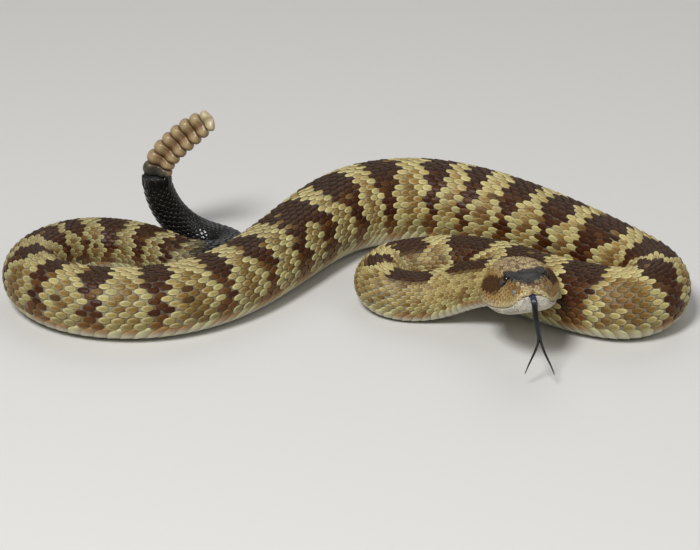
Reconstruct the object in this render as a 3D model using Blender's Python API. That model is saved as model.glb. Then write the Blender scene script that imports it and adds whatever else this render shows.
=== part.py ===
"""Black-tailed rattlesnake, life size: loose bends on the ground, head raised over the body, rattle held up.

Metres, +Z up. The head faces -Y. The origin is on the floor at the middle of the animal's box.
The whole body follows one smooth spine from the snout to the rattle, and each length of it is a loft of
cross sections set square to that spine.
"""

import math

import bmesh
import bpy
import numpy as np
from mathutils import Matrix, Vector

MM = 0.001
GAP = 0.3 * MM  # between faces that touch
HALF_GAP = GAP / 2
CENTRE = Vector((-2.54, -22.33, 0.0)) * MM  # middle of the box in the route's own axes

# The spine, in mm: x to the animal's left, y away from its face, diameter, and height of the middle of
# the body. None lies on the ground. Each length of the body starts at its first point.
REST = 0.94  # height of a resting body's middle, in radii: the belly is flat below
ROUTE = (
    ("head", (
        (68.6, -93.2, 18.6, 34.6),
        (67.0, -80.2, 18.6, 30.9),
        (65.4, -67.2, 18.6, 27.2),
        (64.4, -59.6, 18.6, 25.0),
    )),
    ("neck", (
        (60.2, -53.4, 18.8, 22.2),
        (51.4, -48.2, 19.2, 19.0),
        (40.5, -43.2, 19.8, 13.6),
    )),
    ("neck_bend", (
        (28.0, -40.4, 20.2, None),
        (16.2, -36.7, 20.8, None),
        (12.1, -27.8, 21.4, None),
        (16.2, -18.8, 22.4, None),
    )),
    ("shoulder", (
        (28.0, -15.0, 23.6, None),
        (45.0, -16.0, 25.0, None),
        (61.5, -25.5, 26.4, None),
    )),
    ("fore_body", (
        (79.0, -40.8, 27.6, None),
    )),
    ("fore_bend", (
        (96.0, -51.8, 28.4, None),
        (108.0, -55.0, 28.8, None),
    )),
    ("side_bend", (
        (117.2, -50.6, 29.0, None),
        (121.4, -41.0, 29.2, None),
        (119.0, -30.0, 29.5, None),
    )),
    ("mid_body_side", (
        (112.5, -20.5, 30.0, None),
        (99.4, -5.2, 31.0, None),
    )),
    ("mid_body_arch", (
        (81.2, 12.7, 32.6, None),
        (59.0, 28.5, 34.8, None),
        (33.0, 37.5, 36.6, None),
    )),
    ("mid_body_back", (
        (3.8, 32.4, 36.0, None),
        (-17.0, 10.0, 33.0, None),
    )),
    ("hind_body_front", (
        (-34.0, -18.0, 30.6, None),
        (-52.0, -40.5, 29.5, None),
    )),
    ("hind_body_side", (
        (-74.0, -53.0, 28.8, None),
        (-97.0, -54.0, 28.2, None),
    )),
    ("hind_bend", (
        (-118.2, -43.4, 27.0, None),
        (-128.4, -24.4, 25.0, None),
    )),
    ("hind_body_back", (
        (-124.0, -4.0, 23.5, None),
        (-110.0, 8.5, 22.0, None),
        (-93.0, 8.5, 21.0, None),
    )),
    ("vent_length", (
        (-79.0, 2.0, 20.0, None),
        (-68.5, -5.0, 19.2, None),
        (-58.5, -5.6, 18.2, None),
    )),
    ("tail_bend", (
        (-50.9, 0.6, 17.2, None),
        (-50.3, 10.5, 16.2, None),
    )),
    ("tail", (
        (-56.5, 18.0, 15.4, None),
        (-65.0, 21.2, 14.8, 9.5),
        (-74.0, 21.5, 14.2, 17.0),
        (-79.3, 21.3, 13.3, 27.0),
    )),
    ("rattle", (
        (-80.7, 21.3, 12.4, 36.5),
        (-79.0, 21.3, 12.0, 42.4),
        (-74.0, 21.3, 12.0, 48.8),
        (-67.6, 21.3, 12.0, 54.6),
        (-59.8, 21.3, 12.0, 60.0),
        (-56.6, 21.3, 12.0, 61.8),
    )),
)

# Along the head from the snout, in mm: half width at the cheeks, half width at the brows' edge, level of
# the widest part, height of the crown and depth of the chin, from the line through the mouth's front.
HEAD_SECTIONS = (
    (0.0, 2.8, 2.4, 0.8, 3.4, 0.8),
    (0.5, 4.5, 3.9, 0.4, 4.7, 3.2),
    (1.6, 6.0, 4.8, -0.4, 5.7, 5.3),
    (4.0, 7.4, 5.6, -1.6, 6.4, 6.7),
    (8.0, 9.1, 7.4, -2.6, 7.3, 7.7),
    (12.5, 11.0, 9.5, -2.8, 8.1, 8.7),
    (18.0, 13.2, 10.2, -1.8, 9.2, 9.8),
    (23.5, 15.1, 11.2, -0.6, 10.0, 10.2),
    (28.0, 15.7, 11.2, -0.2, 10.1, 10.1),
    (32.5, 14.7, 10.8, -0.2, 9.8, 9.9),
    (36.5, 12.4, 10.0, -0.1, 9.5, 9.5),
    (41.0, 9.6, 9.4, 0.0, 9.4, 9.2),
)
HEAD_LENGTH = 41.0
HEAD_ROLL = math.radians(-4.5)  # the animal's left side is higher
ROLL_ENDS = 75.0  # mm from the snout where the neck lies level again
SQUARE_SNOUT = 3.8  # exponent of the section
SQUARE_ENDS = 14.0  # where the crown begins to grow round, from the snout
LIP = 0.45  # how far the lips stand out
LIP_HEIGHT = 1.3
LIP_STARTS = 1.0

HEAD_SIDES = 32
BODY_SIDES = 22
LONGEST_STEP = 9.0
SHORTEST_STEP = 3.6
STEP_PER_BEND = 0.34  # step along the spine in bend radii
SQUEEZE = 0.93  # how far the inside of a tight bend may reach, in bend radii
ON_FLOOR = 0.05 * MM  # lower points are set on the floor
ALONG_STEP = 0.2  # mm either side of a place, for the spine's direction
SHARP = math.radians(45)

GAPE = 30.0  # the mouth's corner, from the snout
MOUTH_DROP = 6.0  # how far the lips fall from the front of the mouth to the cheeks
MOUTH_ARCH = 5.0  # length of that fall along the head
MOUTH_RISE = 1.8  # how far the corner rises again
JAW_REACH = 22.0  # half width of the region that parts the jaw from the head
JAW_AHEAD = 2.0
BROW_SIZE = Vector((1.9, 4.1, 0.7))
BROW_AT = (12.6, 6.9, 8.0)  # along the head, to the side, up
BROW_TILT = math.radians(-4)
EYE_RADIUS = 2.15
EYE_AT = (12.6, 7.3, 5.0)
PIT_RADIUS = 1.2
PIT_AT = (5.4, 7.3, 1.6)
NOSTRIL_RADIUS = 0.6
NOSTRIL_AT = (2.0, 4.8, 4.7)

TONGUE_ROOT = 3.6  # depth of the tongue's notch behind the snout
TONGUE_NOTCH = 1.9
NOTCH_FLATNESS = 0.75
TONGUE_START = 0.45  # where the stem begins, in depths of the notch
TONGUE_STEM = ((68.8, -94.5, 34.3), (69.3, -96.8, 31.2), (70.0, -98.6, 25.4), (71.2, -99.2, 19.2))
TONGUE_TINES = (
    ((69.6, -99.8, 14.6), (67.6, -100.2, 9.8), (66.0, -100.2, 5.2)),
    ((73.2, -99.8, 14.4), (75.6, -100.4, 9.4), (77.4, -100.6, 4.9)),
)
TONGUE_STEM_SIZE = (1.0, 0.6)
TONGUE_FORK_SIZE = (0.62, 0.5)
TONGUE_TIP_SIZE = (0.3, 0.3)
TONGUE_SIDES = 8
TINE_OVERLAP = 1.2  # how far each tine starts inside the stem

RATTLE_SEGMENTS = 8
RATTLE_BROAD = 12.2
RATTLE_THIN = 7.6
RATTLE_GROOVE = 0.26  # how deep the groove is, in half thicknesses
GROOVE_WIDTH = 0.32
RATTLE_PROFILE = ((0.0, 0.80), (0.16, 0.94), (0.42, 1.0), (0.72, 0.96), (1.0, 0.76))  # place, swell
RATTLE_POWERS = (0.85, 0.7)  # how square the section is, on its broad and thin sides
TAPER_FROM = 4  # segments before this one are full size
BUTTON_SCALE = 0.74
RATTLE_SIDES = 20

BROWN = ((0.115, 0.062, 0.024, 1.0), 0.55)
OLIVE = ((0.24, 0.165, 0.062, 1.0), 0.55)
FACE = ((0.30, 0.17, 0.055, 1.0), 0.5)
CHIN = ((0.52, 0.48, 0.38, 1.0), 0.55)
BLACK = ((0.012, 0.011, 0.010, 1.0), 0.35)
EYE = ((0.02, 0.015, 0.01, 1.0), 0.12)
TONGUE = ((0.012, 0.012, 0.018, 1.0), 0.3)
HORN = ((0.36, 0.25, 0.13, 1.0), 0.35)
LENGTH_COLOURS = {
    "neck": OLIVE, "neck_bend": OLIVE, "shoulder": BROWN, "fore_body": BROWN, "fore_bend": BROWN,
    "tail_bend": BLACK, "tail": BLACK,
}


class Spline:
    """A natural cubic spline through points, measured along its own length."""

    def __init__(self, points, knots=None):
        self.points = np.array(points, float)
        if knots is None:
            steps = np.linalg.norm(np.diff(self.points[:, :3], axis=0), axis=1)
            knots = np.concatenate([[0.0], np.cumsum(steps)])
        self.knots = np.array(knots, float)
        count, width = len(self.knots), np.diff(self.knots)
        rows = np.eye(count)
        right = np.zeros_like(self.points)
        slopes = np.diff(self.points, axis=0) / width[:, None]
        for i in range(1, count - 1):
            rows[i, i - 1:i + 2] = width[i - 1], 2 * (width[i - 1] + width[i]), width[i]
            right[i] = 6 * (slopes[i] - slopes[i - 1])
        self.bends = np.linalg.solve(rows, right)

    def at(self, place):
        i = int(np.clip(np.searchsorted(self.knots, place) - 1, 0, len(self.knots) - 2))
        width = self.knots[i + 1] - self.knots[i]
        after = (place - self.knots[i]) / width
        before = 1 - after
        curve = (before ** 3 - before) * self.bends[i] + (after ** 3 - after) * self.bends[i + 1]
        return before * self.points[i] + after * self.points[i + 1] + curve * width ** 2 / 6


class Spine:
    """The line from the snout to the rattle, with a frame (across, along, up) at every place on it."""

    def __init__(self):
        rows = [row for _, rows in ROUTE for row in rows]
        points = [(x, y, REST * wide / 2 if high is None else high, wide) for x, y, wide, high in rows]
        self.spline = Spline(points)
        self.end = self.spline.knots[-1]
        first = np.cumsum([0] + [len(rows) for _, rows in ROUTE])
        self.starts = {name: self.spline.knots[i] for (name, _), i in zip(ROUTE, first)}
        self.upright = self.starts["tail"]
        self.turned = self.turn_frames()

    def centre(self, place):
        return Vector(self.spline.at(place)[:3])

    def radius(self, place):
        return self.spline.at(place)[3] / 2

    def along(self, place):
        ahead, behind = min(place + ALONG_STEP, self.end), max(place - ALONG_STEP, 0.0)
        return (self.centre(ahead) - self.centre(behind)).normalized()

    def level_across(self, place):
        across = self.along(place).cross(Vector((0, 0, 1))).normalized()
        roll = HEAD_ROLL * max(0.0, 1 - max(0.0, place - HEAD_LENGTH) / (ROLL_ENDS - HEAD_LENGTH))
        return Matrix.Rotation(roll, 3, self.along(place)) @ across

    def turn_frames(self):
        """Frames carried along the raised tail without twist, which T x Z can't give where it stands upright."""
        places = np.arange(self.upright, self.end + 1, 1.0)
        across, frames = self.level_across(self.upright), []
        for place in places:
            along = self.along(place)
            across = (across - along * across.dot(along)).normalized()
            frames.append((place, across.copy()))
        return frames

    def frame(self, place):
        along = self.along(place)
        if place <= self.upright:
            across = self.level_across(place)
        else:
            across = self.turned[min(int(round(place - self.upright)), len(self.turned) - 1)][1]
            across = (across - along * across.dot(along)).normalized()
        return self.centre(place), across, along, across.cross(along)

    def bend(self, place):
        """Bend radius, and which side of the spine is the inside."""
        step = 1.0
        turn = self.along(min(place + step, self.end)) - self.along(max(place - step, 0.0))
        side = turn.dot(self.frame(place)[1])
        return 2 * step / max(turn.length, 1e-6), math.copysign(1.0, side)


spine = Spine()
head_shape = Spline([row[1:] for row in HEAD_SECTIONS], knots=[math.sqrt(row[0]) for row in HEAD_SECTIONS])


def signed_power(value, power):
    return math.copysign(abs(value) ** power, value)


def body_section(place, angle):
    """A loaf: round, with a flat belly. Its inside is squeezed where the body bends tightly."""
    radius = spine.radius(place)
    x, z = radius * math.cos(angle), radius * math.sin(angle)
    bend, inside = spine.bend(place)
    if x * inside > 0:
        x = math.copysign(min(abs(x), SQUEEZE * bend * abs(math.cos(angle))), x)
    return x, max(z, -REST * radius)


def mouth_level(place):
    """The lips arch up at the front over the tongue, fall to the cheeks and rise a little to the corner."""
    return -MOUTH_DROP * (1 - math.exp(-place / MOUTH_ARCH)) + MOUTH_RISE * (place / GAPE) ** 3


def head_section(place, angle):
    """Flat between the brows, widest at the cheeks, with lips that stand out along the mouth."""
    cheek, brow, level, crown, chin = head_shape.at(math.sqrt(min(place, HEAD_LENGTH)))
    rounder = max(0.0, min((place - SQUARE_ENDS) / (HEAD_LENGTH - SQUARE_ENDS), 1.0))
    power = 2 / (SQUARE_SNOUT + (2 - SQUARE_SNOUT) * math.sqrt(rounder))
    x, z = signed_power(math.cos(angle), power), signed_power(math.sin(angle), power)
    if z > 0:
        wide, high = cheek + (brow - cheek) * z, level + (crown - level) * z
    else:
        wide, high = cheek, level + (chin + level) * z
    if LIP_STARTS < place < GAPE:
        wide += LIP * math.exp(-((high - mouth_level(place)) / LIP_HEIGHT) ** 2)
    return x * wide, high


def ring(place, sides, slide=0.0):
    """The cross section at a place on the spine, moved by slide along it, in metres."""
    centre, across, along, up = spine.frame(place)
    points = []
    for k in range(sides):
        angle = 2 * math.pi * k / sides
        shape = head_section if place < HEAD_LENGTH else body_section
        x, z = shape(place, angle)
        point = centre + across * x + up * z + along * (slide / MM)
        point = point * MM - CENTRE
        point.z = 0.0 if point.z < ON_FLOOR else point.z
        points.append(point)
    return points


def loft(name, rings):
    """One closed body through rings of equal count, flat at both ends."""
    mesh = bmesh.new()
    loops = [[mesh.verts.new(point) for point in points] for points in rings]
    sides = len(loops[0])
    for first, second in zip(loops, loops[1:]):
        for k in range(sides):
            following = (k + 1) % sides
            mesh.faces.new((first[k], first[following], second[following], second[k]))
    mesh.faces.new(loops[0][::-1])
    mesh.faces.new(loops[-1])
    bmesh.ops.recalc_face_normals(mesh, faces=mesh.faces)
    return add_object(name, mesh)


def add_object(name, mesh):
    data = bpy.data.meshes.new(name)
    mesh.to_mesh(data)
    mesh.free()
    piece = bpy.data.objects.new(name, data)
    snake.objects.link(piece)
    return piece


def finish(piece, colour):
    """A named material, and smooth shading."""
    base, rough = colour
    material = bpy.data.materials.new(piece.name)
    material.use_nodes = True
    shader = material.node_tree.nodes["Principled BSDF"]
    shader.inputs["Base Color"].default_value = base
    shader.inputs["Roughness"].default_value = rough
    shader.inputs["Metallic"].default_value = 0.0
    material.diffuse_color = base
    piece.data.materials.clear()
    piece.data.materials.append(material)
    piece.data.shade_smooth()
    piece.data.set_sharp_from_angle(angle=SHARP)


def apply_boolean(piece, operation, *, other=None, collection=None, solver="EXACT"):
    """Cut or join a piece with an object or a collection, apply it, and remove what it used."""
    modifier = piece.modifiers.new(operation.lower(), "BOOLEAN")
    modifier.operation = operation
    modifier.solver = solver
    if collection:
        modifier.operand_type = "COLLECTION"
        modifier.collection = collection
    else:
        modifier.object = other
    mesh = bpy.data.meshes.new_from_object(piece.evaluated_get(bpy.context.evaluated_depsgraph_get()))
    piece.modifiers.clear()
    piece.data = mesh
    used = list(collection.objects) if collection else [other]
    for thing in used:
        bpy.data.objects.remove(thing)
    keep_largest(piece)


def keep_largest(piece):
    """Drops loose scraps: only the largest closed surface stays."""
    mesh = bmesh.new()
    mesh.from_mesh(piece.data)
    left, surfaces = set(mesh.faces), []
    while left:
        reached, edge_of = {left.pop()}, []
        edge_of.extend(reached)
        while edge_of:
            for edge in edge_of.pop().edges:
                for face in edge.link_faces:
                    if face not in reached:
                        reached.add(face)
                        left.discard(face)
                        edge_of.append(face)
        surfaces.append(reached)
    largest = max(surfaces, key=lambda faces: sum(face.calc_area() for face in faces))
    loose = [face for faces in surfaces if faces is not largest for face in faces]
    bmesh.ops.delete(mesh, geom=loose, context="FACES")
    mesh.to_mesh(piece.data)
    mesh.free()


def as_cutter(piece):
    snake.objects.unlink(piece)
    cutters.objects.link(piece)
    piece.hide_render = True
    piece.display_type = "WIRE"
    return piece


def on_head(place, side, up):
    """A point in the head's own frame: along from the snout, to the animal's left, up; in metres."""
    centre, across, _, upward = spine.frame(place)
    return (centre + across * side + upward * up) * MM - CENTRE


def head_matrix(place):
    """Axes at a place on the head: X to the animal's left, Y backward, Z up."""
    _, across, along, up = spine.frame(place)
    return Matrix((across, along, up)).transposed().to_4x4()


def ball(name, centre, size, turn, segments=16):
    """A sphere or ellipsoid of the given half sizes, in metres."""
    mesh = bmesh.new()
    bmesh.ops.create_uvsphere(mesh, u_segments=segments, v_segments=segments // 2, radius=1.0)
    bmesh.ops.scale(mesh, vec=size, verts=mesh.verts)
    bmesh.ops.transform(mesh, matrix=turn, verts=mesh.verts)
    bmesh.ops.translate(mesh, vec=centre, verts=mesh.verts)
    return add_object(name, mesh)


def body_places(start, end):
    """Places along a length, closer together where it bends."""
    places, place = [], start
    while True:
        bend, _ = spine.bend(place)
        place += min(max(bend * STEP_PER_BEND, SHORTEST_STEP), LONGEST_STEP)
        if place > end - SHORTEST_STEP / 2:
            return places
        places.append(place)


def make_length(name, start, end):
    """One length of the body, a half gap short of the boundary at each end."""
    rings = [ring(start, BODY_SIDES, slide=HALF_GAP)]
    rings += [ring(place, BODY_SIDES) for place in body_places(start, end)]
    rings.append(ring(end, BODY_SIDES, slide=-HALF_GAP))
    return loft(name, rings)


def jaw_region(name, clearance):
    """The space under the mouth line, from ahead of the snout to the mouth's corner."""
    steps = 12
    stations = [-JAW_AHEAD, 0.0] + [GAPE * (k / steps) ** 2 for k in range(2, steps + 1)]
    rings = []
    for place in stations:
        centre, across, along, up = spine.frame(max(place, 0.0))
        if place == stations[-1]:
            centre = centre - along * clearance
        centre = centre + along * min(place, 0.0)
        top = mouth_level(max(place, 0.0)) - clearance
        corners = [(JAW_REACH, top), (-JAW_REACH, top), (-JAW_REACH, -JAW_REACH), (JAW_REACH, -JAW_REACH)]
        rings.append([(centre + across * x + up * z) * MM - CENTRE for x, z in corners])
    return loft(name, rings)


def make_head():
    """The head with its brows, and the lower jaw parted from it along the mouth."""
    end = spine.starts["neck"]
    places = [row[0] for row in HEAD_SECTIONS]
    rings = [ring(place, HEAD_SIDES) for place in places] + [ring(end, HEAD_SIDES, slide=-HALF_GAP)]
    head = loft("head", rings)
    jaw = loft("lower_jaw", rings)
    bpy.context.view_layer.update()
    apply_boolean(head, "DIFFERENCE", other=as_cutter(jaw_region("jaw_space", 0.0)))
    apply_boolean(jaw, "INTERSECT", other=as_cutter(jaw_region("jaw_block", GAP / MM)), solver="MANIFOLD")
    for side in (1, -1):
        along, out, high = BROW_AT
        tilt = Matrix.Rotation(side * BROW_TILT, 4, "Y")
        turn = head_matrix(along) @ tilt
        brow = ball("brow", on_head(along, side * out, high), BROW_SIZE * MM, turn)
        joined.objects.link(brow)
        snake.objects.unlink(brow)
    apply_boolean(head, "UNION", collection=joined)
    for side in (1, -1):
        for (along, out, high), radius in (
            (EYE_AT, EYE_RADIUS + GAP / MM), (PIT_AT, PIT_RADIUS), (NOSTRIL_AT, NOSTRIL_RADIUS),
        ):
            size = Vector((radius, radius, radius)) * MM
            hollow = ball("hollow", on_head(along, side * out, high), size, head_matrix(along))
            cuts.objects.link(hollow)
            snake.objects.unlink(hollow)
    apply_boolean(head, "DIFFERENCE", collection=cuts)
    return head, jaw


def cut_tongue_notch(head, jaw):
    """The small notch at the front of the mouth that the tongue comes out of."""
    for piece in (head, jaw):
        front, back = on_head(0.0, 0, 0), on_head(TONGUE_ROOT, 0, 0)
        middle = (front + back) / 2
        size = Vector((TONGUE_NOTCH, TONGUE_ROOT, TONGUE_NOTCH * NOTCH_FLATNESS)) * MM
        notch = ball("notch", middle - (back - front) / 2, size, head_matrix(1.0))
        apply_boolean(piece, "DIFFERENCE", other=as_cutter(notch), solver="MANIFOLD")


def make_eye(name, side):
    along, out, high = EYE_AT
    size = Vector((EYE_RADIUS,) * 3) * MM
    return ball(name, on_head(along, side * out, high), size, head_matrix(along))


def tongue_tube(name, points, start_size, end_size):
    """A flattened tapering tube through points in mm."""
    curve = Spline(points)
    count = 3 * len(points)
    rings = []
    for i in range(count):
        part = i / (count - 1)
        place = part * curve.knots[-1]
        centre = Vector(curve.at(place))
        along = Vector(curve.at(min(place + 0.1, curve.knots[-1]))) - Vector(curve.at(max(place - 0.1, 0.0)))
        across = along.cross(Vector((0, 1, 0))).normalized()
        flat = across.cross(along).normalized()
        half = [a + (b - a) * part for a, b in zip(start_size, end_size)]
        rings.append([
            (centre + across * half[0] * math.cos(turn) + flat * half[1] * math.sin(turn)) * MM - CENTRE
            for turn in (2 * math.pi * k / TONGUE_SIDES for k in range(TONGUE_SIDES))
        ])
    return loft(name, rings)


def make_tongue():
    """A stem from the notch that forks into two tines."""
    root = (on_head(TONGUE_ROOT * TONGUE_START, 0, 0) + CENTRE) / MM
    stem = tongue_tube("tongue", (tuple(root),) + TONGUE_STEM, TONGUE_STEM_SIZE, TONGUE_STEM_SIZE)
    for tine in TONGUE_TINES:
        start = TONGUE_STEM[-1]
        above = (start[0], start[1], start[2] + TINE_OVERLAP)
        piece = tongue_tube("tine", (above, start) + tine, TONGUE_FORK_SIZE, TONGUE_TIP_SIZE)
        joined.objects.link(piece)
        snake.objects.unlink(piece)
    apply_boolean(stem, "UNION", collection=joined)
    return stem


def make_rattle_segment(index):
    """One horny segment: a flattened bead with a groove down its broad side."""
    start = spine.starts["rattle"]
    pitch = (spine.end - start) / RATTLE_SEGMENTS
    taper = max(0.0, (index - TAPER_FROM) / (RATTLE_SEGMENTS - 1 - TAPER_FROM))
    scale = 1 + (BUTTON_SCALE - 1) * taper ** 2
    broad_power, thin_power = RATTLE_POWERS
    rings = []
    for part, swell in RATTLE_PROFILE:
        centre, across, along, up = spine.frame(start + (index + part) * pitch)
        slide = {0.0: HALF_GAP, 1.0: -HALF_GAP}.get(part, 0.0) / MM
        points = []
        for k in range(RATTLE_SIDES):
            angle = 2 * math.pi * k / RATTLE_SIDES
            pinch = 1 - RATTLE_GROOVE * math.exp(-(math.sin(angle) / GROOVE_WIDTH) ** 2)
            broad = RATTLE_BROAD / 2 * scale * swell * signed_power(math.sin(angle), broad_power)
            thin = RATTLE_THIN / 2 * scale * swell * signed_power(math.cos(angle), thin_power) * pinch
            points.append((centre + up * broad + across * thin + along * slide) * MM - CENTRE)
        rings.append(points)
    return loft(f"rattle_segment_{index + 1}", rings)


for thing in list(bpy.data.objects):
    bpy.data.objects.remove(thing)
scene = bpy.context.scene
snake = bpy.data.collections.new("black_tailed_rattlesnake")
cutters = bpy.data.collections.new("cutters")
joined = bpy.data.collections.new("joined")
cuts = bpy.data.collections.new("cuts")
for collection in (snake, cutters, joined, cuts):
    scene.collection.children.link(collection)

head, jaw = make_head()
cut_tongue_notch(head, jaw)
finish(head, FACE)
finish(jaw, CHIN)
finish(make_eye("eye_left", 1), EYE)
finish(make_eye("eye_right", -1), EYE)
finish(make_tongue(), TONGUE)

names = [name for name, _ in ROUTE]
for name, following in zip(names[1:-1], names[2:]):
    piece = make_length(name, spine.starts[name], spine.starts[following])
    finish(piece, LENGTH_COLOURS.get(name, OLIVE))
for index in range(RATTLE_SEGMENTS):
    finish(make_rattle_segment(index), HORN)

for collection in (cutters, joined, cuts):
    bpy.data.collections.remove(collection)
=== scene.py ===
"""Black-tailed rattlesnake, life size: one skin over the whole animal, its scales, eyes, tongue and rattle.

The skin and every scale are set out over two body coordinates: the place along the spine, in mm from the
snout, and the angle round it, in radians from the middle of the back, positive to the animal's left.
"""

import math

import bmesh
import bpy
import numpy as np
from mathutils import Matrix, Vector
from mathutils.bvhtree import BVHTree


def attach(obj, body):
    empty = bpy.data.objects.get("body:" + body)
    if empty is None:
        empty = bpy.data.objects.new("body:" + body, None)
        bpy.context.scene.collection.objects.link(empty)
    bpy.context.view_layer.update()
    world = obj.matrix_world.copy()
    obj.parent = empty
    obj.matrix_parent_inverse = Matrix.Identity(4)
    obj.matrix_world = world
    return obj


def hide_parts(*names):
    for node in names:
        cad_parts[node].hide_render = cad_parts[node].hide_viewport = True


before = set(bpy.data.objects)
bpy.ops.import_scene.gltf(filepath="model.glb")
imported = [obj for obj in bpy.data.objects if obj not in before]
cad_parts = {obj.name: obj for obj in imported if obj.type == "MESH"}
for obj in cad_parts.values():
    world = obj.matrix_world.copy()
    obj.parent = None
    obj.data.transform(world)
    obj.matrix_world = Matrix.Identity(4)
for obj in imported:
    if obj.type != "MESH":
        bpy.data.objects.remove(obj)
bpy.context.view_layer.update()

MM = 0.001
CENTRE = np.array((-2.54, -22.33, 0.0))  # middle of the box in the route's own axes, mm
UP = np.array((0.0, 0.0, 1.0))

# The spine, in mm: x to the animal's left, y away from its face, diameter, and height of the middle of
# the body, which is None where it lies on the ground.
REST = 0.94
ROUTE = (
    (68.6, -93.2, 18.6, 34.6), (67.0, -80.2, 18.6, 30.9), (65.4, -67.2, 18.6, 27.2),
    (64.4, -59.6, 18.6, 25.0), (60.2, -53.4, 18.8, 22.2), (51.4, -48.2, 19.2, 19.0),
    (40.5, -43.2, 19.8, 13.6), (28.0, -40.4, 20.2, None), (16.2, -36.7, 20.8, None),
    (12.1, -27.8, 21.4, None), (16.2, -18.8, 22.4, None), (28.0, -15.0, 23.6, None),
    (45.0, -16.0, 25.0, None), (61.5, -25.5, 26.4, None), (79.0, -40.8, 27.6, None),
    (96.0, -51.8, 28.4, None), (108.0, -55.0, 28.8, None), (117.2, -50.6, 29.0, None),
    (121.4, -41.0, 29.2, None), (119.0, -30.0, 29.5, None), (112.5, -20.5, 30.0, None),
    (99.4, -5.2, 31.0, None), (81.2, 12.7, 32.6, None), (59.0, 28.5, 34.8, None),
    (33.0, 37.5, 36.6, None), (3.8, 32.4, 36.0, None), (-17.0, 10.0, 33.0, None),
    (-34.0, -18.0, 30.6, None), (-52.0, -40.5, 29.5, None), (-74.0, -53.0, 28.8, None),
    (-97.0, -54.0, 28.2, None), (-118.2, -43.4, 27.0, None), (-128.4, -24.4, 25.0, None),
    (-124.0, -4.0, 23.5, None), (-110.0, 8.5, 22.0, None), (-93.0, 8.5, 21.0, None),
    (-79.0, 2.0, 20.0, None), (-68.5, -5.0, 19.2, None), (-58.5, -5.6, 18.2, None),
    (-50.9, 0.6, 17.2, None), (-50.3, 10.5, 16.2, None), (-56.5, 18.0, 15.4, None),
    (-65.0, 21.2, 14.8, 9.5), (-74.0, 21.5, 14.2, 17.0), (-79.3, 21.3, 13.3, 27.0),
    (-80.7, 21.3, 12.4, 36.5), (-79.0, 21.3, 12.0, 42.4), (-74.0, 21.3, 12.0, 48.8),
    (-67.6, 21.3, 12.0, 54.6), (-59.8, 21.3, 12.0, 60.0), (-56.6, 21.3, 12.0, 61.8),
)
TAIL_POINT = 41  # the route's point where the tail leaves the ground
RATTLE_POINT = 45  # and the one where the rattle begins

# Along the head from the snout, in mm: half width at the cheeks, half width at the brows' edge, level of
# the widest part, height of the crown and depth of the chin, from the line through the mouth's front.
HEAD_SECTIONS = (
    (0.0, 2.8, 2.4, 0.8, 3.4, 0.8),
    (0.5, 4.5, 3.9, 0.4, 4.7, 3.2),
    (1.6, 6.0, 4.8, -0.4, 5.7, 5.3),
    (4.0, 7.4, 5.6, -1.6, 6.4, 6.7),
    (8.0, 9.1, 7.4, -2.6, 7.3, 7.7),
    (12.5, 11.0, 9.5, -2.8, 8.1, 8.7),
    (18.0, 13.2, 10.2, -1.8, 9.2, 9.8),
    (23.5, 15.1, 11.2, -0.6, 10.0, 10.2),
    (28.0, 15.7, 11.2, -0.2, 10.1, 10.1),
    (32.5, 14.7, 10.8, -0.2, 9.8, 9.9),
    (36.5, 12.4, 10.0, -0.1, 9.5, 9.5),
    (41.0, 9.6, 9.4, 0.0, 9.4, 9.2),
)
HEAD_LENGTH = 41.0
HEAD_ROLL = math.radians(-4.5)
ROLL_ENDS = 75.0
SQUARE_SNOUT = 3.8  # power of the boxy section of the snout, which falls to an oval's 2 at the neck
SQUARE_ENDS = 14.0
SNOUT_CAP = 3.0  # the flat front of the snout is laid over this much place before zero
SNOUT_BULGE = 0.5
SQUEEZE = 0.93  # the part of a bend's radius that the body may fill on the inside
NECK_BLEND = 3.0  # the head's section turns into the neck's over this much either side

LIP = 0.45  # how far the lips swell out
LIP_HEIGHT = 1.3
GAPE = 30.0  # place of the mouth's corners
MOUTH_DROP = 6.0
MOUTH_ARCH = 5.0
MOUTH_RISE = 1.8

# Features of the head: place from the snout, and height above the head's line, mm.
EYE_AT = (12.6, 5.35)
EYE_RING_AT = (12.6, 5.0)
EYE_OUT = 7.0
EYE_RADIUS = 2.0
PIT_AT = (4.7, 1.7)
PIT_DEPTH = 0.8
PIT_LENS = (0.7, 1.15, 1.2)
PIT_TURN = 0.4  # how far the pit faces forwards, as a slope
NOSTRIL_AT = (2.3, 4.7)
NOSTRIL_SIZE = (0.45, 0.85)
CHEEK_AT = (19.5, 3.0)
CHEEK_SIZE = (8.2, 3.5)

COAT = 0.45  # depth of the skin under the solids' surface
SKIN_AROUND = 160  # faces round the skin
HEAD_STEP = 0.45  # length of its faces on the head, mm
BODY_STEP = 2.4  # and on the body

PHOTO_WIDTH = 700
VIEW_FOCUS = 2400.0  # focal length in the photograph's pixels, from a metre away
VIEW_ELEVATION = 25.0


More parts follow.
